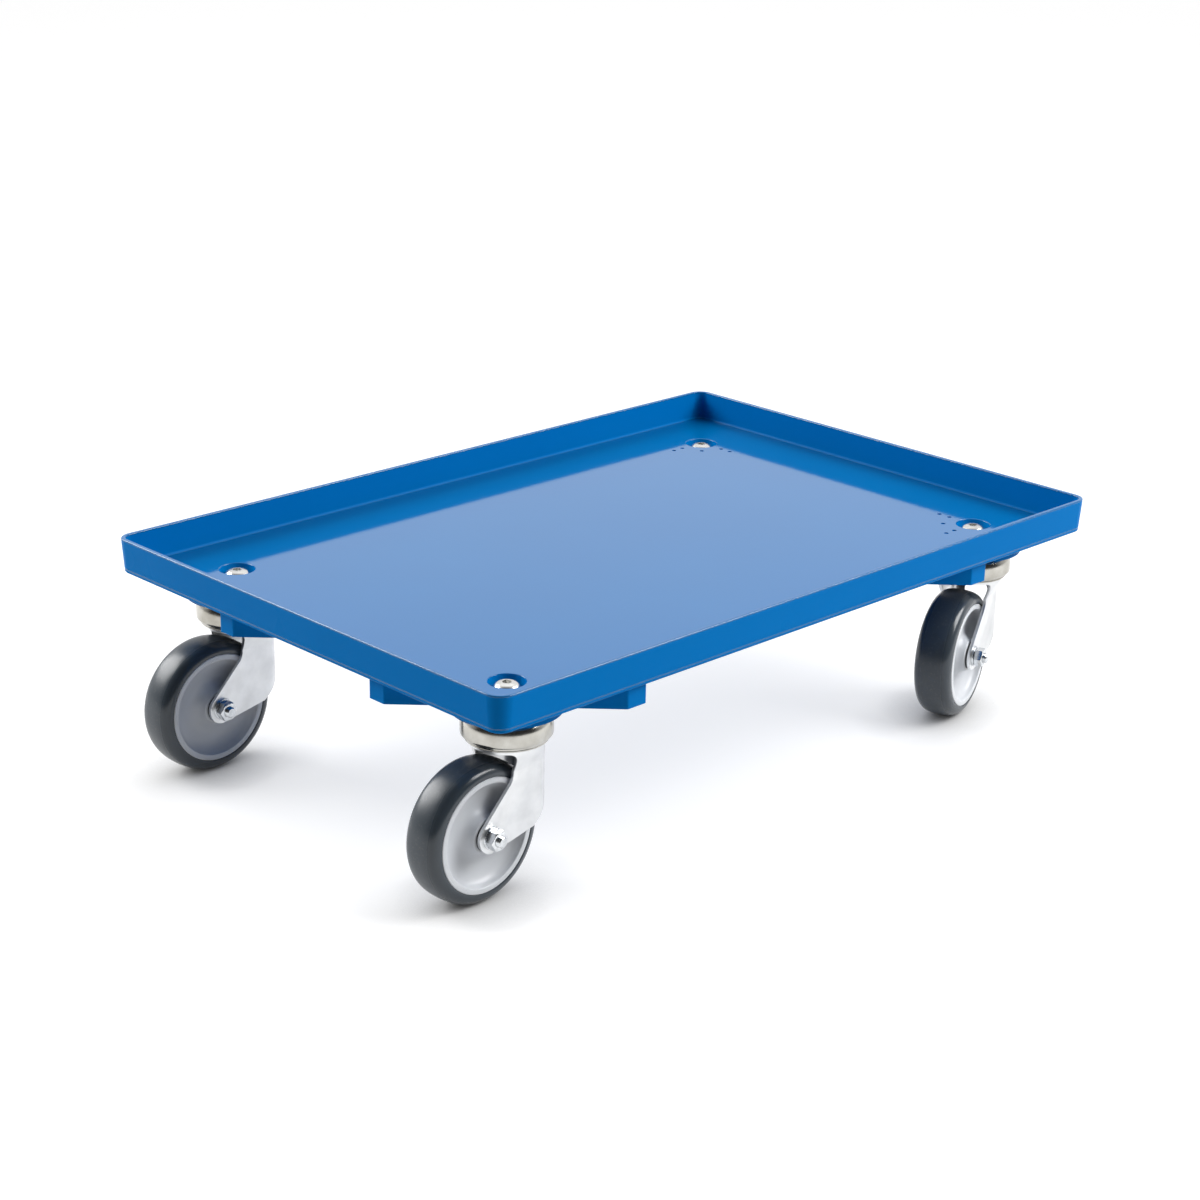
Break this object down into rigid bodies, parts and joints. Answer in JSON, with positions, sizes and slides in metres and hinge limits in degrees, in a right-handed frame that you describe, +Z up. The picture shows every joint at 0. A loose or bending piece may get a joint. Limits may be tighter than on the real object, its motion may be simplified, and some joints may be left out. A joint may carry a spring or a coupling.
{
  "type": "platform trolley",
  "caption": "Low platform trolley: rectangular plastic tray deck with an upstand rim, carried on swivel casters with pressed steel forks and soft grey tyres.",
  "frame": {"origin": "on the ground under the middle of the deck", "axes": "+X along the deck's long side, +Y along its short side, +Z up"},
  "size_m": [0.6574, 0.4198, 0.17],
  "materials": {
    "deck_plastic": "glossy injection-moulded polypropylene, strong blue",
    "screw_steel": "bright zinc-plated steel, domed screw heads",
    "cup_zinc": "zinc-plated pressed steel, slightly warm",
    "ball_steel": "polished bearing steel, greased",
    "fork_zinc": "bright zinc-plated pressed sheet steel",
    "axle_zinc": "blue-passivated zinc-plated steel",
    "rim_plastic": "light grey satin moulded polypropylene",
    "bush_plastic": "dark nylon plain bush",
    "tyre_rubber": "smooth dark blue-grey thermoplastic rubber, satin"
  },
  "bodies": {
    "deck_body": {"deck": "deck_plastic", "deck_ribs": "deck_plastic", "mount_screws": "screw_steel", "mount_washers": "screw_steel", "mount_nuts": "screw_steel", "corner_block_rear_right": "deck_plastic", "swivel_cup_rear_right": "cup_zinc", "kingpin_rear_right": "cup_zinc", "corner_block_rear_left": "deck_plastic", "swivel_cup_rear_left": "cup_zinc", "kingpin_rear_left": "cup_zinc", "corner_block_front_right": "deck_plastic", "swivel_cup_front_right": "cup_zinc", "kingpin_front_right": "cup_zinc", "corner_block_front_left": "deck_plastic", "swivel_cup_front_left": "cup_zinc", "kingpin_front_left": "cup_zinc"},
    "fork_rear_right": {"fork_rear_right": "fork_zinc", "upper_balls_rear_right": "ball_steel", "lower_balls_rear_right": "ball_steel", "axle_bolt_rear_right": "axle_zinc", "axle_washers_rear_right": "axle_zinc", "axle_nut_rear_right": "axle_zinc", "axle_sleeve_rear_right": "axle_zinc"},
    "wheel_rear_right": {"wheel_rim_rear_right": "rim_plastic", "wheel_bushes_rear_right": "bush_plastic", "tyre_rear_right": "tyre_rubber"},
    "fork_rear_left": {"fork_rear_left": "fork_zinc", "upper_balls_rear_left": "ball_steel", "lower_balls_rear_left": "ball_steel", "axle_bolt_rear_left": "axle_zinc", "axle_washers_rear_left": "axle_zinc", "axle_nut_rear_left": "axle_zinc", "axle_sleeve_rear_left": "axle_zinc"},
    "wheel_rear_left": {"wheel_rim_rear_left": "rim_plastic", "wheel_bushes_rear_left": "bush_plastic", "tyre_rear_left": "tyre_rubber"},
    "fork_front_right": {"fork_front_right": "fork_zinc", "upper_balls_front_right": "ball_steel", "lower_balls_front_right": "ball_steel", "axle_bolt_front_right": "axle_zinc", "axle_washers_front_right": "axle_zinc", "axle_nut_front_right": "axle_zinc", "axle_sleeve_front_right": "axle_zinc"},
    "wheel_front_right": {"wheel_rim_front_right": "rim_plastic", "wheel_bushes_front_right": "bush_plastic", "tyre_front_right": "tyre_rubber"},
    "fork_front_left": {"fork_front_left": "fork_zinc", "upper_balls_front_left": "ball_steel", "lower_balls_front_left": "ball_steel", "axle_bolt_front_left": "axle_zinc", "axle_washers_front_left": "axle_zinc", "axle_nut_front_left": "axle_zinc", "axle_sleeve_front_left": "axle_zinc"},
    "wheel_front_left": {"wheel_rim_front_left": "rim_plastic", "wheel_bushes_front_left": "bush_plastic", "tyre_front_left": "tyre_rubber"}
  },
  "joints": [
    {"name": "swivel_rear_right", "type": "hinge", "parent": "deck_body", "child": "fork_rear_right", "pos_m": [-0.2465, -0.1474, 0.1], "axis": [0, 0, 1], "continuous": true},
    {"name": "roll_rear_right", "type": "hinge", "parent": "fork_rear_right", "child": "wheel_rear_right", "pos_m": [-0.27847, -0.14885, 0.05], "axis": [0.0454, -0.999, 0], "continuous": true},
    {"name": "swivel_rear_left", "type": "hinge", "parent": "deck_body", "child": "fork_rear_left", "pos_m": [-0.2465, 0.1474, 0.1], "axis": [0, 0, 1], "continuous": true},
    {"name": "roll_rear_left", "type": "hinge", "parent": "fork_rear_left", "child": "wheel_rear_left", "pos_m": [-0.27849, 0.14656, 0.05], "axis": [0.0262, -0.9997, 0], "continuous": true},
    {"name": "swivel_front_right", "type": "hinge", "parent": "deck_body", "child": "fork_front_right", "pos_m": [0.2465, -0.1474, 0.1], "axis": [0, 0, 1], "continuous": true},
    {"name": "roll_front_right", "type": "hinge", "parent": "fork_front_right", "child": "wheel_front_right", "pos_m": [0.21621, -0.15771, 0.05], "axis": [0.3223, -0.9466, 0], "continuous": true},
    {"name": "swivel_front_left", "type": "hinge", "parent": "deck_body", "child": "fork_front_left", "pos_m": [0.2465, 0.1474, 0.1], "axis": [0, 0, 1], "continuous": true},
    {"name": "roll_front_left", "type": "hinge", "parent": "fork_front_left", "child": "wheel_front_left", "pos_m": [0.27847, 0.14885, 0.05], "axis": [-0.0454, 0.999, 0], "continuous": true}
  ]
}
